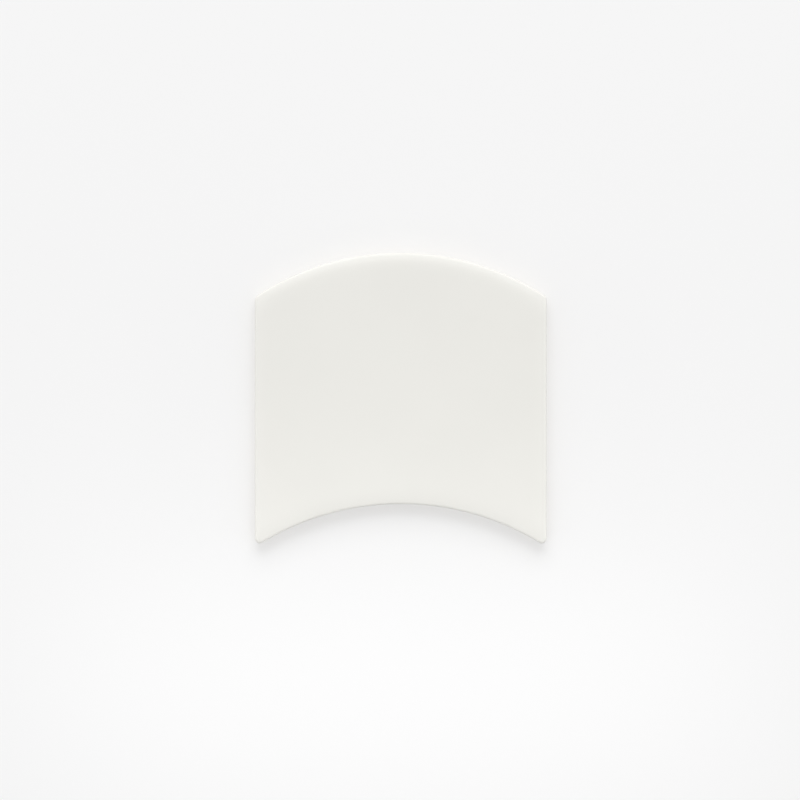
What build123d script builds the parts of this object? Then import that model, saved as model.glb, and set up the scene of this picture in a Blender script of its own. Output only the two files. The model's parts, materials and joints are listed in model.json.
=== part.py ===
from build123d import *
from math import ceil, hypot, sqrt
import os

# Driving dimensions, in millimetres

# Outline, seen from the front
tile_width = 120.0
centre_height = 103.4
crown_radius = 108.0
nesting_gap = 2.0
corner_radius = 2.0

# Thickness, and the edges of the glazed face and of the back
thickness = 8.5
cushion_width = 9.0
cushion_drop = 0.65
edge_radius = 0.8
back_arris = 0.5

# Keyed back: a lattice of shallow pockets that the adhesive grips
key_depth = 0.8
key_pitch = 18.0
key_land = 4.0
key_margin = 6.0
key_corner = 1.5

# Sizes that follow from the ones above

half_width = tile_width / 2
# Both arcs have one centre when nested, so the hollow is larger by the gap between them.
hollow_radius = crown_radius + nesting_gap

# The two lower tips reach this far below the middle of the hollow.
tip_radius = hollow_radius + corner_radius
tip_drop = tip_radius - sqrt(tip_radius**2 - (half_width - corner_radius) ** 2)
overall_height = centre_height + tip_drop

# The origin is at the middle of the tile's box, on the lands of its back.
crown_y = overall_height / 2
hollow_y = crown_y - centre_height
crown_centre = crown_y - crown_radius
hollow_centre = hollow_y - hollow_radius

# The glazed face is one surface through stations, each way across the tile. They run
# past the outline, which then trims it, and a few steps onto the level of the face.
overrun = 2.0
overrun_steps = 2
cushion_steps = 6
level_steps = 2
flat_steps = 10
face_tolerance = 0.002
lowest_degree = 3
highest_degree = 5


def crown_at(x):
    """Height of the arched upper end at a place across the tile."""
    return crown_centre + sqrt(crown_radius**2 - x**2)


def hollow_at(x):
    """Height of the hollow lower end at a place across the tile."""
    return hollow_centre + sqrt(hollow_radius**2 - x**2)


def outline():
    """Arched upper end, straight sides, hollow lower end and four rounded corners."""
    upper_right = (half_width, crown_at(half_width))
    lower_right = (half_width, hollow_at(half_width))
    lower_left = (-half_width, hollow_at(half_width))
    upper_left = (-half_width, crown_at(half_width))
    with BuildSketch() as sketch:
        with BuildLine():
            ThreePointArc(upper_left, (0, crown_y), upper_right)
            Line(upper_right, lower_right)
            ThreePointArc(lower_right, (0, hollow_y), lower_left)
            Line(lower_left, upper_left)
        make_face()
        fillet(sketch.vertices(), corner_radius)
    return sketch.sketch


def fall(from_edge):
    """How far one cushion lowers the face, ever more steeply out towards its edge."""
    outwards = max(cushion_width - from_edge, 0)
    return cushion_drop * (outwards / cushion_width) ** 3


def stations(low, high):
    """Places from edge to edge, close together on the cushions and wider on the flat."""
    band = [overrun * count / overrun_steps for count in range(-overrun_steps, 0)]
    for count in range(cushion_steps + level_steps + 1):
        band.append(cushion_width * count / cushion_steps)
    flat = high - low - 2 * band[-1]
    first = [low + inwards for inwards in band]
    middle = [first[-1] + flat * count / flat_steps for count in range(1, flat_steps)]
    last = [high - inwards for inwards in reversed(band)]
    return first + middle + last


def glazed_face():
    """One smooth surface: flat in the middle, and lower along the ends and the sides."""
    rows = []
    for x in stations(-half_width, half_width):
        row = []
        for y in stations(hollow_at(x), crown_at(x)):
            from_crown = crown_radius - hypot(x, y - crown_centre)
            from_hollow = hypot(x, y - hollow_centre) - hollow_radius
            from_side = half_width - abs(x)
            height = thickness - fall(from_crown) - fall(from_hollow) - fall(from_side)
            row.append(Vector(x, y, height))
        rows.append(row)
    return Face.make_surface_from_array_of_points(
        rows, tol=face_tolerance, min_deg=lowest_degree, max_deg=highest_degree
    )


def blank():
    """The tile before its back is keyed."""
    block = extrude(outline(), amount=thickness + overrun)
    body = block - extrude(glazed_face(), amount=2 * overrun, dir=(0, 0, 1))
    body = fillet(body.faces().sort_by(Axis.Z)[-1].edges(), edge_radius)
    return chamfer(body.faces().sort_by(Axis.Z)[0].edges(), back_arris)


def key():
    """Pockets on a lattice whose lands cross at the origin, trimmed by a plain border."""
    side = key_pitch - key_land
    columns = 2 * ceil(half_width / key_pitch)
    rows = 2 * ceil(overall_height / 2 / key_pitch)
    field = offset(outline(), -key_margin, kind=Kind.INTERSECTION)
    pockets = []
    for place in GridLocations(key_pitch, key_pitch, columns, rows):
        if field.face().is_inside(place.position):
            pocket = place * RectangleRounded(side, side, key_corner) & field
            pockets.append(extrude(pocket, amount=key_depth))
    return pockets


tile = blank() - key()

os.makedirs("parts", exist_ok=True)
export_step(tile, "parts/tile.step")
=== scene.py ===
import bpy
import json
import math
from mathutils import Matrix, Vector


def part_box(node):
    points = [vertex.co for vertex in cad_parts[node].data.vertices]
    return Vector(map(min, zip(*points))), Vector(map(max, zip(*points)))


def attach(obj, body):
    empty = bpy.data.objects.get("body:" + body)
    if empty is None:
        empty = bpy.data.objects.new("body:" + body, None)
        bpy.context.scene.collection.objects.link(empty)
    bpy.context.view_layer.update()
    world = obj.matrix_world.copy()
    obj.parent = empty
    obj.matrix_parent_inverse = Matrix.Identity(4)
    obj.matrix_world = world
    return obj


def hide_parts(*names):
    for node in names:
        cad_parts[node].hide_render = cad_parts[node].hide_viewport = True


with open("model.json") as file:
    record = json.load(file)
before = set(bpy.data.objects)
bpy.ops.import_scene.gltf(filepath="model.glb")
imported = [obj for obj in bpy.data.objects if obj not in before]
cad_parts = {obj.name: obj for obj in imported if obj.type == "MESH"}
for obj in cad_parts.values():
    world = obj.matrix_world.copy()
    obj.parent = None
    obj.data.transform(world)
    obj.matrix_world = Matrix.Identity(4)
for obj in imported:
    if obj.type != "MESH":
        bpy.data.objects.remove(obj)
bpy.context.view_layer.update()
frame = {"record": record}

# Sizes in metres. The outline comes from the frame, and the rest from how such a tile is made.
mm = 0.001
tile_low, tile_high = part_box("tile")
mounts = {mount["name"]: mount for mount in frame["record"]["mounts"]}
half_width = tile_high.x
crown_y = tile_high.y
hollow_y = mounts["hollow_end"]["pos_m"][1]
thickness = tile_high.z
crown_radius = 108 * mm
nesting_gap = 2 * mm
corner_radius = 2 * mm
back_arris = 0.5 * mm

# The photograph is 800 pixels square, and this is the laid tile's place in it.
photo_px = 800
tile_width_px = 291.85
tile_centre_px = (400.8, 398.1)


# Fields: values that a node tree works out

class Field:
    """A socket's value. Sums, products and quotients of fields add nodes to its tree."""

    def __init__(self, socket):
        self.socket = socket
        self.tree = socket.id_data

    def __add__(self, other):
        return calculate("ADD", self, other)

    def __sub__(self, other):
        return calculate("SUBTRACT", self, other)

    def __rsub__(self, other):
        return calculate("SUBTRACT", other, self)

    def __mul__(self, other):
        return calculate("MULTIPLY", self, other)

    def __truediv__(self, other):
        return calculate("DIVIDE", self, other)

    def __rtruediv__(self, other):
        return calculate("DIVIDE", other, self)

    def __neg__(self):
        return calculate("MULTIPLY", self, -1)

    __radd__ = __add__
    __rmul__ = __mul__


def plug(tree, socket, value):
    """Gives an input its value: a field is linked to it, and anything else is set on it."""
    if isinstance(value, Field):
        tree.links.new(value.socket, socket)
    else:
        socket.default_value = value


def add(tree, kind, inputs=(), **settings):
    """Adds a node. Its inputs are given by their names or their numbers."""
    node = tree.nodes.new(kind)
    for name, value in settings.items():
        setattr(node, name, value)
    for key, value in dict(inputs).items():
        plug(tree, node.inputs[key], value)
    return node


def calculate(operation, *terms):
    """One math node on fields and numbers."""
    tree = next(term.tree for term in terms if isinstance(term, Field))
    node = add(tree, "ShaderNodeMath", enumerate(terms), operation=operation)
    return Field(node.outputs[0])


def root(value):
    return calculate("SQRT", value)


def square(value):
    return value * value


def magnitude(value):
    return calculate("ABSOLUTE", value)


def sign(value):
    return calculate("SIGN", value)


def least(first, second):
    return calculate("MINIMUM", first, second)


def most(first, second):
    return calculate("MAXIMUM", first, second)


def beyond(value, limit):
    """1 where a value is over a limit, and 0 elsewhere."""
    return calculate("GREATER_THAN", value, limit)


def distance(across, along):
    return root(square(across) + square(along))


def choose(test, if_true, if_false):
    """One of two values, by a test that is 1 or 0."""
    return if_false + test * (if_true - if_false)


def ramp(value, low, high):
    """Rises smoothly from 0 to 1 as a value goes from low to high."""
    inputs = {"Value": value, "From Min": low, "From Max": high}
    node = add(value.tree, "ShaderNodeMapRange", inputs, interpolation_type="SMOOTHSTEP")
    return Field(node.outputs["Result"])


def apart(vector):
    """The three parts of a vector."""
    node = add(vector.tree, "ShaderNodeSeparateXYZ", {0: vector})
    return [Field(output) for output in node.outputs]


def together(tree, x, y, z):
    """A vector of three parts."""
    node = add(tree, "ShaderNodeCombineXYZ", {0: x, 1: y, 2: z})
    return Field(node.outputs[0])


def noise(vector, wavelength, detail, seed=0.0):
    """Smooth noise from 0 to 1, with lumps about a wavelength across."""
    inputs = {"Vector": vector, "W": seed, "Scale": 1 / wavelength, "Detail": detail}
    node = add(vector.tree, "ShaderNodeTexNoise", inputs, noise_dimensions="4D")
    return Field(node.outputs[0])


def new_tree(name, kind, inputs, outputs):
    """A node group with named inputs and outputs. An input is (name, socket kind, value)
    and an output (name, socket kind)."""
    tree = bpy.data.node_groups.new(name, kind)
    for label, socket, value in inputs:
        made = tree.interface.new_socket(label, in_out="INPUT", socket_type=socket)
        made.default_value = value
    for label, socket in outputs:
        tree.interface.new_socket(label, in_out="OUTPUT", socket_type=socket)
    start = tree.nodes.new("NodeGroupInput")
    given = {label: Field(start.outputs[label]) for label, _, _ in inputs}
    return tree, given


def finish_tree(tree, results):
    add(tree, "NodeGroupOutput", results)


def place_group(tree, kind, group, inputs):
    """Places a node group in a tree, and returns its outputs by name."""
    node = tree.nodes.new(kind)
    node.node_tree = group
    for label, value in inputs.items():
        plug(tree, node.inputs[label], value)
    return {output.name: Field(output) for output in node.outputs}


# The glaze's lower edge, on the sides of the tile. The mesh and the finish both use it.

glaze_line = thickness - 3.2 * mm
glaze_waver = 1.1 * mm
glaze_wave = 14 * mm
glaze_edge = 0.25 * mm


def glaze_cover(x, y, z):
    """1 where the glaze covers the body, and 0 below the wavering line where it ran out."""
    around = together(x.tree, x, y, 0.0)
    waver = (noise(around, glaze_wave, detail=3.0) - 0.5) * (2 * glaze_waver)
    return ramp(z - (glaze_line + waver), -glaze_edge, glaze_edge)


# Shape of the tile

outline_sizes = [
    ("Half Width", half_width),
    ("Crown Y", crown_y),
    ("Hollow Y", hollow_y),
    ("Crown Radius", crown_radius),
    ("Hollow Radius", crown_radius + nesting_gap),
    ("Corner Radius", corner_radius),
]
section_sizes = [
    ("Thickness", thickness),
    ("Cushion Width", 9 * mm),
    ("Cushion Drop", 0.65 * mm),
    ("Edge Radius", 0.8 * mm),
    ("Arris", back_arris),
    ("Glaze Thickness", 0.15 * mm),
    ("Waviness", 0.05 * mm),
    ("Wave Length", 38 * mm),
]
key_sizes = [
    ("Key Pitch", 18 * mm),
    ("Key Land", 4 * mm),
    ("Key Depth", 0.8 * mm),
    ("Key Margin", 6 * mm),
    ("Key Corner", 1.5 * mm),
    ("Key Draft", 0.35 * mm),
]

# Steps of the mesh across the tile and through its thickness. This share of the steps
# lies inside the cushions, where they crowd towards the edge.
steps_across = 140
steps_through = 18
cushion_share = 0.3

# Without a cushion, the steps crowd in a band as wide as this.
plain_band = 6 * mm

# A point that no corner reaches counts as this deep.
far_off = 1.0

# No length that divides another is less than this.
hair = 0.001 * mm

# The pockets stand on a lattice with this many places each way.
key_rows = 8

# Points in each corner of a pocket's cutter, and stations along its height
cutter_corner_points = 6
cutter_stations = 13

# Past this share of a pocket's depth its walls also curve in, by this share of the draft.
foot_from = 0.6
foot_curve = 0.5

# The border that trims the pockets reaches this many depths below and above the back.
border_steps = 60
border_reach = 2

# Points closer than this become one after the pockets are cut.
weld = 0.002 * mm

# The back's finish covers what lies this far inside the outline, in key margins, and lower
# than this, in key depths. It also covers a face whose normal points down more than this.
back_inset = 0.5
back_height = 2
looks_down = 0.9

# Edges that turn more than this stay sharp.
sharp_degrees = 35


def floats(sizes):
    return [(name, "NodeSocketFloat", value) for name, value in sizes]


def crowd(part, half, band):
    """Turns a share from -1 to 1 into a place, with steps that shrink towards both ends."""
    inner = 1 - cushion_share
    share = magnitude(part)
    flat = share * ((half - band) / inner)
    angle = most(share - inner, 0.0) * (math.pi / 2 / cushion_share)
    rolled = half - band * (1 - calculate("SINE", angle))
    return sign(part) * choose(beyond(share, inner), rolled, flat)


def round_corner(x, y, centre, normal, from_end, radius):
    """Draws the sharp corner beyond a centre in to an arc. The side's normal is +X, and the
    normal of the tile's end at the corner is given, with each point's distance from that
    end. Returns x, y and the distance in from the arc."""
    across = x - centre[0]
    along = y - centre[1]
    reach = most(distance(across, along), hair)
    turned = sign(normal[1])
    between = beyond((across * normal[1] - along * normal[0]) * turned, 0.0)
    between = between * beyond(along * turned, 0.0)
    shrink = choose(between, most(across, radius - from_end) / reach, 1.0)
    depth = choose(between, radius - reach * shrink, far_off)
    return centre[0] + across * shrink, centre[1] + along * shrink, depth


def make_plan():
    """A group that bends a square of shares into the tile's outline, and measures how far
    each point lies from the edges."""
    shares = [("Across", 0.0), ("Along", 0.0), ("Inset", 0.0), ("Cushion Width", plain_band)]
    names = ["X", "Y", "From Edge", "From Side", "From Crown", "From Hollow"]
    inputs = floats(shares + outline_sizes)
    outputs = [(name, "NodeSocketFloat") for name in names]
    tree, size = new_tree("tile plan", "GeometryNodeTree", inputs, outputs)

    half = size["Half Width"] - size["Inset"]
    crown_r = size["Crown Radius"] - size["Inset"]
    hollow_r = size["Hollow Radius"] + size["Inset"]
    crown_centre = size["Crown Y"] - size["Crown Radius"]
    hollow_centre = size["Hollow Y"] - size["Hollow Radius"]
    corner = size["Corner Radius"]

    x = magnitude(crowd(size["Across"], half, size["Cushion Width"]))
    crown_at = crown_centre + root(square(crown_r) - square(x))
    hollow_at = hollow_centre + root(square(hollow_r) - square(x))
    middle = (crown_at + hollow_at) / 2
    y = middle + crowd(size["Along"], (crown_at - hollow_at) / 2, size["Cushion Width"])

    centre_x = half - corner
    shoulder_r = crown_r - corner
    rise = root(square(shoulder_r) - square(centre_x))
    centre = (centre_x, crown_centre + rise)
    normal = (centre_x / shoulder_r, rise / shoulder_r)
    from_crown = crown_r - distance(x, y - crown_centre)
    x, y, shoulder_depth = round_corner(x, y, centre, normal, from_crown, corner)
    tip_r = hollow_r + corner
    rise = root(square(tip_r) - square(centre_x))
    centre = (centre_x, hollow_centre + rise)
    normal = (-centre_x / tip_r, -rise / tip_r)
    from_hollow = distance(x, y - hollow_centre) - hollow_r
    x, y, tip_depth = round_corner(x, y, centre, normal, from_hollow, corner)

    from_side = half - x
    from_crown = crown_r - distance(x, y - crown_centre)
    from_hollow = distance(x, y - hollow_centre) - hollow_r
    from_edge = least(from_side, least(from_crown, from_hollow))
    from_edge = least(from_edge, least(shoulder_depth, tip_depth))
    results = {
        "X": x * sign(size["Across"]),
        "Y": y,
        "From Edge": most(from_edge, 0.0),
        "From Side": from_side,
        "From Crown": from_crown,
        "From Hollow": from_hollow,
    }
    finish_tree(tree, results)
    return tree


def inside(size, x, y, inset):
    """1 where a place lies further than an inset inside the ends and the sides."""
    from_crown_centre = distance(x, y - (size["Crown Y"] - size["Crown Radius"]))
    from_hollow_centre = distance(x, y - (size["Hollow Y"] - size["Hollow Radius"]))
    within = beyond(size["Half Width"] - inset, magnitude(x))
    within = within * beyond(size["Crown Radius"] - inset, from_crown_centre)
    return within * beyond(from_hollow_centre, size["Hollow Radius"] + inset)


def roll_off(depth, radius):
    """How far an edge rounded to a radius has fallen, at a distance in from the edge."""
    return radius - root(square(radius) - square(radius - least(depth, radius)))


def cushion_fall(depth, width, drop):
    """How far one cushion lowers the face, at a distance in from its edge."""
    share = most(width - depth, 0.0) / width
    return drop * share * square(share)


def position_of(tree):
    return Field(add(tree, "GeometryNodeInputPosition").outputs[0])


def normal_of(tree):
    return Field(add(tree, "GeometryNodeInputNormal").outputs[0])


def shaped_block(tree, across_steps, through_steps, plan_inputs, plan, rule):
    """A closed block whose plan is the tile's, with its heights set by a rule."""
    counts = {
        "Size": (2, 2, 2),
        "Vertices X": across_steps + 1,
        "Vertices Y": across_steps + 1,
        "Vertices Z": through_steps + 1,
    }
    block = add(tree, "GeometryNodeMeshCube", counts)
    across, along, through = apart(position_of(tree))
    inputs = {"Across": across, "Along": along, **plan_inputs}
    spot = place_group(tree, "GeometryNodeGroup", plan, inputs)
    height = rule(spot, (through + 1) / 2)
    moved = {
        "Geometry": Field(block.outputs["Mesh"]),
        "Position": together(tree, spot["X"], spot["Y"], height),
    }
    return Field(add(tree, "GeometryNodeSetPosition", moved).outputs[0])


def glazed_block(tree, size, plan):
    """The tile before its back is keyed: cushioned face, rolled edge, sides and arris."""

    def rule(spot, up):
        falls = 0.0
        for edge in ("From Side", "From Crown", "From Hollow"):
            fall = cushion_fall(spot[edge], size["Cushion Width"], size["Cushion Drop"])
            falls = fall + falls
        place = together(tree, spot["X"], spot["Y"], 0.0)
        waves = noise(place, size["Wave Length"], detail=0.0, seed=3.0)
        face = size["Thickness"] - falls - roll_off(spot["From Edge"], size["Edge Radius"])
        face = face - waves * size["Waviness"]
        back = roll_off(spot["From Edge"], size["Arris"])
        return choose(up, face, back)

    plan_inputs = {name: size[name] for name, _ in outline_sizes}
    plan_inputs["Cushion Width"] = size["Cushion Width"]
    block = shaped_block(tree, steps_across, steps_through, plan_inputs, plan, rule)
    bare = 1 - glaze_cover(*apart(position_of(tree)))
    out_x, out_y, _ = apart(normal_of(tree))
    step_in = -size["Glaze Thickness"] * bare
    offset = together(tree, out_x * step_in, out_y * step_in, 0.0)
    node = add(tree, "GeometryNodeSetPosition", {"Geometry": block, "Offset": offset})
    return Field(node.outputs[0])


def key_cutter(tree, size):
    """One pocket: a square with rounded corners that narrows towards its floor."""
    depth = size["Key Depth"]
    side = size["Key Pitch"] - size["Key Land"]
    sides = {"Width": side, "Height": side}
    outline = add(tree, "GeometryNodeCurvePrimitiveQuadrilateral", sides)
    rounding = {
        "Curve": Field(outline.outputs[0]),
        "Count": cutter_corner_points,
        "Radius": size["Key Corner"],
    }
    profile = add(tree, "GeometryNodeFilletCurve", rounding, mode="POLY")
    ends = {"Start": together(tree, 0, 0, -depth), "End": together(tree, 0, 0, depth)}
    line = add(tree, "GeometryNodeCurvePrimitiveLine", ends)
    stations = {"Curve": Field(line.outputs[0]), "Count": cutter_stations}
    path = add(tree, "GeometryNodeResampleCurve", stations)
    rise = apart(position_of(tree))[2] / depth
    narrowing = size["Key Draft"] * (rise + ramp(rise, foot_from, 1.0) * foot_curve)
    sweep = {
        "Curve": Field(path.outputs[0]),
        "Profile Curve": Field(profile.outputs[0]),
        "Scale": 1 - narrowing * 2 / side,
        "Fill Caps": True,
    }
    return Field(add(tree, "GeometryNodeCurveToMesh", sweep).outputs[0])


def key_pockets(tree, size, plan):
    """All the pockets of the key, trimmed where the lattice meets the plain border."""
    span = size["Key Pitch"] * (key_rows - 1)
    lattice = {
        "Size X": span,
        "Size Y": span,
        "Vertices X": key_rows,
        "Vertices Y": key_rows,
    }
    grid = add(tree, "GeometryNodeMeshGrid", lattice)
    x, y, _ = apart(position_of(tree))
    spread = {
        "Points": Field(grid.outputs["Mesh"]),
        "Selection": inside(size, x, y, size["Key Margin"]),
        "Instance": key_cutter(tree, size),
    }
    placed = add(tree, "GeometryNodeInstanceOnPoints", spread)
    pockets = add(tree, "GeometryNodeRealizeInstances", {0: Field(placed.outputs[0])})

    def rule(spot, up):
        return (up * 2 - 1) * border_reach * size["Key Depth"]

    plan_inputs = {name: size[name] for name, _ in outline_sizes}
    plan_inputs["Inset"] = size["Key Margin"]
    plan_inputs["Corner Radius"] = size["Key Corner"]
    border = shaped_block(tree, border_steps, 1, plan_inputs, plan, rule)
    trimmed = add(tree, "GeometryNodeMeshBoolean", operation="INTERSECT", solver="EXACT")
    tree.links.new(border.socket, trimmed.inputs["Mesh 2"])
    tree.links.new(pockets.outputs[0], trimmed.inputs["Mesh 2"])
    return Field(trimmed.outputs["Mesh"])


def make_tile_tree(plan, face_finish, back_finish):
    """The whole tile by rule: a block bent to its shape, less the pockets of its key."""
    sizes = floats(outline_sizes + section_sizes + key_sizes)
    result = [("Geometry", "NodeSocketGeometry")]
    tree, size = new_tree("tile by rule", "GeometryNodeTree", sizes, result)
    body = {"Mesh 1": glazed_block(tree, size, plan)}
    keyed = add(
        tree, "GeometryNodeMeshBoolean", body, operation="DIFFERENCE", solver="EXACT"
    )
    tree.links.new(key_pockets(tree, size, plan).socket, keyed.inputs["Mesh 2"])
    doubles = {"Geometry": Field(keyed.outputs["Mesh"]), "Distance": weld}
    welded = add(tree, "GeometryNodeMergeByDistance", doubles)
    smooth = add(tree, "GeometryNodeSetShadeSmooth", {0: Field(welded.outputs[0])})
    real = add(tree, "GeometryNodeRealizeInstances", {0: Field(smooth.outputs[0])})
    face = {0: Field(real.outputs[0]), "Material": face_finish}
    glazed = add(tree, "GeometryNodeSetMaterial", face)
    x, y, z = apart(position_of(tree))
    low = beyond(size["Key Depth"] * back_height, z)
    low = inside(size, x, y, size["Key Margin"] * back_inset) * low
    under = most(low, beyond(-apart(normal_of(tree))[2], looks_down))
    back = {0: Field(glazed.outputs[0]), "Selection": under, "Material": back_finish}
    backed = add(tree, "GeometryNodeSetMaterial", back)
    finish_tree(tree, {"Geometry": Field(backed.outputs[0])})
    return tree


def run_tree(name, tree, sizes):
    """Runs a rule once and keeps its result as a plain mesh."""
    holder = bpy.data.objects.new(name, bpy.data.meshes.new(name))
    bpy.context.scene.collection.objects.link(holder)
    modifier = holder.modifiers.new(name, "NODES")
    modifier.node_group = tree
    for item in tree.interface.items_tree:
        if item.in_out == "INPUT":
            modifier[item.identifier] = sizes[item.name]
    graph = bpy.context.evaluated_depsgraph_get()
    mesh = bpy.data.meshes.new_from_object(holder.evaluated_get(graph))
    holder.modifiers.remove(modifier)
    bpy.data.objects.remove(holder)
    mesh.name = name
    piece = bpy.data.objects.new(name, mesh)
    bpy.context.scene.collection.objects.link(piece)
    return piece


def make_tile(plan, face_finish, back_finish):
    """The tile as a plain mesh, smooth but for its true edges."""
    tree = make_tile_tree(plan, face_finish, back_finish)
    tile = run_tree("glazed_tile", tree, dict(outline_sizes + section_sizes + key_sizes))
    tile.data.set_sharp_from_angle(angle=math.radians(sharp_degrees))
    return tile


# Finishes

def shade(red, green, blue):
    """A colour as it is seen, in steps of 255, as the linear values that nodes take."""
    linear = [(step / 255 + 0.055) ** 2.4 / 1.055**2.4 for step in (red, green, blue)]
    return (*linear, 1.0)


# A length here is the size of a noise's lumps, and a band the two values of a noise between
# which its effect comes in.

# Glaze: clouds of tone, a haze of roughness, and a skin that swells and dimples
glaze_cool = shade(235, 234, 229)
glaze_pale = shade(236, 235, 230)
glaze_clouds = 30 * mm
glaze_cloud_band = (0.35, 0.65)
glaze_roughness = 0.13
glaze_roughness_spread = 0.035
glaze_haze = 12 * mm
glaze_haze_band = (0.3, 0.7)
glaze_swell = 9 * mm
glaze_dimples = 2.2 * mm
glaze_dimple_share = 0.25
glaze_relief = 0.012 * mm
glaze_ior = 1.52

# Fired body: clouds of tone, specks and grain
clay_deep = shade(214, 205, 189)
clay_pale = shade(223, 215, 201)
clay_clouds = 16 * mm
clay_cloud_band = (0.3, 0.7)
clay_speck = shade(188, 174, 152)
clay_specks = 0.5 * mm
clay_speck_band = (0.62, 0.74)
clay_speck_share = 0.6
clay_grain = 0.35 * mm
clay_roughness = 0.82
clay_roughness_spread = 0.15
clay_relief = 0.05 * mm

# Lines of the die on the sides: a noise drawn out upwards, which sees this share of a height
die_lines = 0.7 * mm
die_stretch = 0.06
die_line_band = (0.5, 0.8)
die_line_wash = 0.25
die_relief = 0.03 * mm

# Wash on the lands of the back: streaks drawn out along the tile, patches and grain, each
# with its share. It ends between two heights on the walls of the pockets.
kiln_wash = shade(236, 233, 226)
wash_streaks = 2.6 * mm
wash_stretch = 0.15
wash_streak_share = 0.35
wash_patches = 13 * mm
wash_patch_share = 0.45
wash_grain = 0.45 * mm
wash_grain_share = 0.3
wash_band = (0.5, 0.62)
wash_cover = 0.75
wash_ends = (0.05 * mm, 0.3 * mm)
wash_relief = 0.03 * mm

# Both groups below put out the same three values.
finish_outputs = [
    ("Color", "NodeSocketColor"),
    ("Roughness", "NodeSocketFloat"),
    ("Height", "NodeSocketFloat"),
]

# The numbers of a Mix node's sockets for colours, which share their names with others
mix_from, mix_to, mix_result = 6, 7, 2


def object_place(tree):
    return Field(tree.nodes.new("ShaderNodeTexCoord").outputs["Object"])


def tint(low, high, share):
    """A colour between two others."""
    inputs = {"Factor": share, mix_from: low, mix_to: high}
    node = add(share.tree, "ShaderNodeMix", inputs, data_type="RGBA")
    return Field(node.outputs[mix_result])


def make_glaze_group():
    """The white glaze: faint clouds of tone, and a skin that is a little uneven."""
    inputs = [("Seed", "NodeSocketFloat", 0.0)]
    tree, given = new_tree("white glaze", "ShaderNodeTree", inputs, finish_outputs)
    place = object_place(tree)
    seed = given["Seed"]
    clouds = ramp(noise(place, glaze_clouds, detail=3.0, seed=seed), *glaze_cloud_band)
    haze = ramp(noise(place, glaze_haze, detail=4.0, seed=seed), *glaze_haze_band)
    swell = noise(place, glaze_swell, detail=1.0, seed=seed)
    dimples = noise(place, glaze_dimples, detail=1.0, seed=seed)
    results = {
        "Color": tint(glaze_cool, glaze_pale, clouds),
        "Roughness": glaze_roughness + haze * glaze_roughness_spread,
        "Height": swell + dimples * glaze_dimple_share,
    }
    finish_tree(tree, results)
    return tree


def make_body_group():
    """The fired body: pale, dry and grainy, with fine dark specks, and washed white where
    its mask says so."""
    inputs = [("Wash", "NodeSocketFloat", 0.0)]
    tree, given = new_tree("fired body", "ShaderNodeTree", inputs, finish_outputs)
    place = object_place(tree)
    clouds = ramp(noise(place, clay_clouds, detail=4.0, seed=5.0), *clay_cloud_band)
    specks = ramp(noise(place, clay_specks, detail=2.0, seed=8.0), *clay_speck_band)
    grain = noise(place, clay_grain, detail=3.0, seed=2.0)
    clay = tint(clay_deep, clay_pale, clouds)
    clay = tint(clay, clay_speck, specks * clay_speck_share)
    results = {
        "Color": tint(clay, kiln_wash, given["Wash"]),
        "Roughness": clay_roughness + grain * clay_roughness_spread,
        "Height": grain,
    }
    finish_tree(tree, results)
    return tree


def new_finish(name):
    """A material with one plain shader, and its tree."""
    material = bpy.data.materials.new(name)
    material.use_nodes = True
    tree = material.node_tree
    shader = tree.nodes["Principled BSDF"]
    return material, tree, shader


def raise_relief(tree, shader, height):
    """Turns a height in metres into the shader's normal."""
    bump = add(tree, "ShaderNodeBump", {"Height": height, "Distance": 1.0})
    plug(tree, shader.inputs["Normal"], Field(bump.outputs[0]))


def glaze_finish(glaze, body):
    """White glaze on the face, running out over the bare body low on the sides. The body has
    the fine upright lines that the die's wall leaves."""
    material, tree, shader = new_finish("white_glaze")
    x, y, z = apart(object_place(tree))
    cover = glaze_cover(x, y, z)
    drag = noise(together(tree, x, y, z * die_stretch), die_lines, detail=3.0, seed=6.0)
    coat = place_group(tree, "ShaderNodeGroup", glaze, {"Seed": 1.0})
    wash = ramp(drag, *die_line_band) * die_line_wash
    clay = place_group(tree, "ShaderNodeGroup", body, {"Wash": wash})
    plug(tree, shader.inputs["Base Color"], tint(clay["Color"], coat["Color"], cover))
    roughness = choose(cover, coat["Roughness"], clay["Roughness"])
    plug(tree, shader.inputs["Roughness"], roughness)
    rough = clay["Height"] * clay_relief + drag * die_relief
    raise_relief(tree, shader, choose(cover, coat["Height"] * glaze_relief, rough))
    shader.inputs["IOR"].default_value = glaze_ior
    return material


def back_finish(body):
    """Bare body on the keyed back. Its lands carry the white wash that keeps a tile from
    sticking to the kiln's rollers, thin, grainy and worn in streaks."""
    material, tree, shader = new_finish("fired_body")
    place = object_place(tree)
    x, y, z = apart(place)
    drawn_out = together(tree, x, y * wash_stretch, z)
    streaks = noise(drawn_out, wash_streaks, detail=2.0, seed=4.0) * wash_streak_share
    patches = noise(place, wash_patches, detail=3.0, seed=9.0) * wash_patch_share
    grain = noise(place, wash_grain, detail=3.0, seed=7.0) * wash_grain_share
    lands = 1 - ramp(z, *wash_ends)
    wash = lands * ramp(streaks + patches + grain, *wash_band)
    clay = place_group(tree, "ShaderNodeGroup", body, {"Wash": wash * wash_cover})
    plug(tree, shader.inputs["Base Color"], clay["Color"])
    plug(tree, shader.inputs["Roughness"], clay["Roughness"])
    raise_relief(tree, shader, clay["Height"] * clay_relief + wash * wash_relief)
    return material


# Floor

floor_reach = 3.0
floor_gap = 0.02 * mm
floor_points = 720
floor_sizes = outline_sizes + [("Arris", back_arris)]

# The floor's tone as light meets it and as the camera sees it, and the glow that the
# camera sees on top
floor_tone = 0.7
floor_tone_seen = 0.42
floor_glow = 0.49
white = (1, 1, 1, 1)


def grey(tone):
    return (tone, tone, tone, 1)


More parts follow.
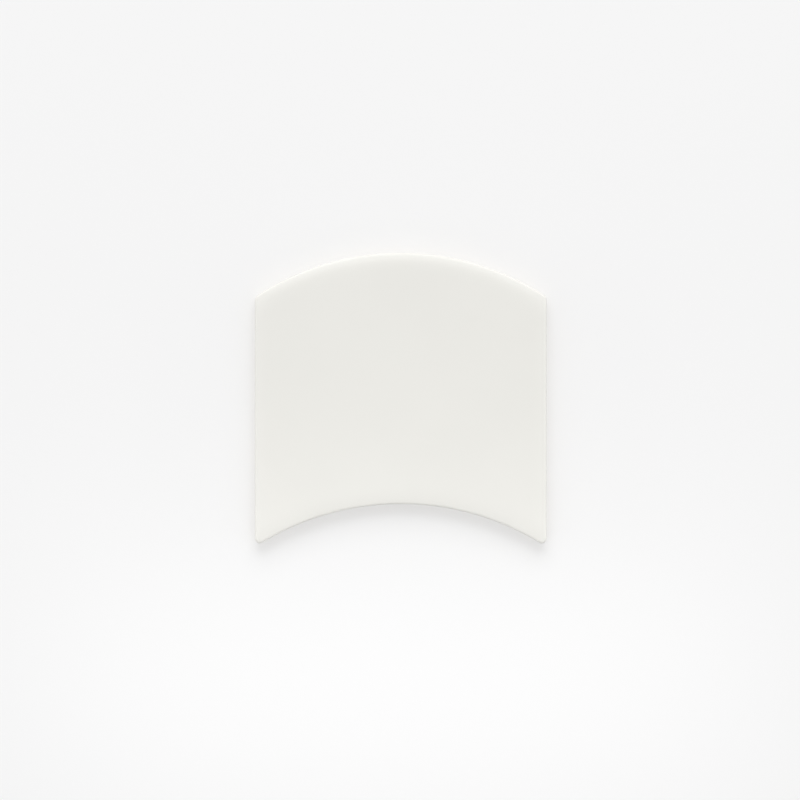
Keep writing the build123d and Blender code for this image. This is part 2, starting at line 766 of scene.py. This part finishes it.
def make_floor(plan):
    """A wide pale floor with the tile's shadow on it. It is open under the tile and clear
    from below, so that views from below show the back."""
    result = [("Geometry", "NodeSocketGeometry")]
    tree, size = new_tree("floor by rule", "GeometryNodeTree", floats(floor_sizes), result)
    circle = {"Vertices": floor_points, "Radius": 1.0}
    ring = add(tree, "GeometryNodeMeshCircle", circle)
    across, along, _ = apart(position_of(tree))
    widest = most(magnitude(across), magnitude(along))
    inputs = {name: size[name] for name, _ in outline_sizes}
    inputs["Inset"] = size["Arris"]
    inputs["Corner Radius"] = size["Corner Radius"] - size["Arris"]
    inputs["Across"] = across / widest
    inputs["Along"] = along / widest
    spot = place_group(tree, "GeometryNodeGroup", plan, inputs)
    moved = {
        "Geometry": Field(ring.outputs["Mesh"]),
        "Position": together(tree, spot["X"], spot["Y"], tile_low.z - floor_gap),
    }
    edge = add(tree, "GeometryNodeSetPosition", moved)
    x, y, _ = apart(position_of(tree))
    out = floor_reach / distance(x, y)
    offset = together(tree, x * out, y * out, 0.0)
    widened = {"Mesh": Field(edge.outputs[0]), "Offset": offset}
    strip = add(tree, "GeometryNodeExtrudeMesh", widened, mode="EDGES")
    real = add(tree, "GeometryNodeRealizeInstances", {0: Field(strip.outputs["Mesh"])})
    surface = {0: Field(real.outputs[0]), "Material": floor_finish()}
    covered = add(tree, "GeometryNodeSetMaterial", surface)
    finish_tree(tree, {"Geometry": Field(covered.outputs[0])})
    floor = run_tree("floor", tree, dict(floor_sizes))
    if floor.data.polygons[0].normal.z < 0:
        floor.data.flip_normals()


def floor_finish():
    """Pale and matt. The camera sees part of its light as its own, which softens the shadow."""
    material, tree, shader = new_finish("floor_pale")
    seen = Field(tree.nodes.new("ShaderNodeLightPath").outputs["Is Camera Ray"])
    tone = tint(grey(floor_tone), grey(floor_tone_seen), seen)
    plug(tree, shader.inputs["Base Color"], tone)
    shader.inputs["Roughness"].default_value = 1.0
    shader.inputs["Specular IOR Level"].default_value = 0.0
    shader.inputs["Emission Color"].default_value = white
    plug(tree, shader.inputs["Emission Strength"], seen * floor_glow)
    clear = tree.nodes.new("ShaderNodeBsdfTransparent")
    below = tree.nodes.new("ShaderNodeNewGeometry").outputs["Backfacing"]
    either = tree.nodes.new("ShaderNodeMixShader")
    tree.links.new(below, either.inputs[0])
    tree.links.new(shader.outputs[0], either.inputs[1])
    tree.links.new(clear.outputs[0], either.inputs[2])
    tree.links.new(either.outputs[0], tree.nodes["Material Output"].inputs["Surface"])
    return material


# Light

# Strength of the sky at the horizon, what it loses evenly up to the zenith and what it
# loses just above the horizon, and what it gains towards the crown and to both flanks
sky_horizon = 0.647
sky_fade = 0.26
sky_low_fade = 0.2
sky_at_crown = 0.214
sky_at_flanks = 0.3

# The sky changes with direction, whose three parts make a length of 1. Each band holds the
# values of one part between which a change comes in: up, along the tile, across it, and
# up again near the zenith.
low_band = (0.0, 0.4)
crown_band = (-0.15, 0.43)
flank_band = (0.08, 0.5)
overhead_band = (0.97, 0.9998)

# The sky straight overhead, the light from below the horizon, and what the camera sees
sky_overhead = 0.05
sky_below = 0.8
backdrop = 0.94

# Each lamp has a name, a place, a target, a width and height, and a power in watts. The
# last value says whether the glaze mirrors the lamp. The side fills aim high over the
# tile, so that their edges light it and the floor beneath them stays even.
tile_middle = (0, 0, 0)
over_tile = (0, 0, 2.4)
lamps = [
    ("key", (0, 2.0, 1.96), tile_middle, (2.4, 2.0), 40.7, False),
    ("crown_box", (0, 1.2, 1.84), tile_middle, (1.2, 0.935), 5.03, True),
    ("top_box", (0, 0.629, 2.0), tile_middle, (1.2, 0.155), 0.675, True),
    ("front_fill", (0, -0.118, 0.1), (0, -0.118, 0), (0.3, 0.05), 0.048, False),
    ("left_fill", (-2.0, 0, 0.34), over_tile, (1.6, 0.24), 5.6, False),
    ("right_fill", (2.0, 0, 0.34), over_tile, (1.6, 0.24), 5.6, False),
    ("lamp_below", (-0.6, 0.5, -0.7), tile_middle, (0.5, 0.5), 4, False),
]


def make_world():
    """Even pale light from all round, with more of it from the crown's side and from both
    flanks. It is dark straight overhead, where a camera hangs."""
    world = bpy.data.worlds.new("studio")
    bpy.context.scene.world = world
    world.use_nodes = True
    tree = world.node_tree
    seen = Field(tree.nodes.new("ShaderNodeLightPath").outputs["Is Camera Ray"])
    coordinates = tree.nodes.new("ShaderNodeTexCoord")
    across, along, up = apart(Field(coordinates.outputs["Generated"]))
    sky = sky_horizon - up * sky_fade - ramp(up, *low_band) * sky_low_fade
    sky = sky + ramp(along, *crown_band) * sky_at_crown
    sky = sky + ramp(magnitude(across), *flank_band) * sky_at_flanks
    sky = choose(ramp(up, *overhead_band), sky_overhead, sky)
    light = choose(beyond(up, 0.0), sky, sky_below)
    background = tree.nodes["Background"]
    background.inputs["Color"].default_value = white
    plug(tree, background.inputs["Strength"], choose(seen, backdrop, light))


def make_lamp(name, place, target, size, power, mirrored):
    """A soft lamp that faces a target. The camera doesn't see it."""
    light = bpy.data.lights.new(name, "AREA")
    light.shape = "RECTANGLE"
    light.size, light.size_y = size
    light.energy = power
    lamp = bpy.data.objects.new(name, light)
    lamp.location = place
    lamp.rotation_euler = (Vector(target) - Vector(place)).to_track_quat("-Z", "Y").to_euler()
    lamp.visible_camera = False
    lamp.visible_glossy = mirrored
    bpy.context.scene.collection.objects.link(lamp)


# Camera

camera_height = 2.0
sensor_width = 36


def make_camera():
    """Straight over the face, with the tile where the photograph has it."""
    per_px = 2 * half_width / tile_width_px
    data = bpy.data.cameras.new("camera")
    data.sensor_width = sensor_width
    data.lens = sensor_width * camera_height / (per_px * photo_px)
    camera = bpy.data.objects.new("camera", data)
    off_x = (tile_centre_px[0] - photo_px / 2) * per_px
    off_y = (tile_centre_px[1] - photo_px / 2) * per_px
    centre = (tile_low + tile_high) / 2
    camera.location = (centre.x - off_x, centre.y + off_y, thickness + camera_height)
    bpy.context.scene.collection.objects.link(camera)
    bpy.context.scene.camera = camera


bpy.context.scene.view_settings.view_transform = "Standard"
glaze_group = make_glaze_group()
body_group = make_body_group()
plan = make_plan()
tile = make_tile(plan, glaze_finish(glaze_group, body_group), back_finish(body_group))
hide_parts("tile")
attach(tile, "root")
make_floor(plan)
make_world()
for lamp in lamps:
    make_lamp(*lamp)
make_camera()
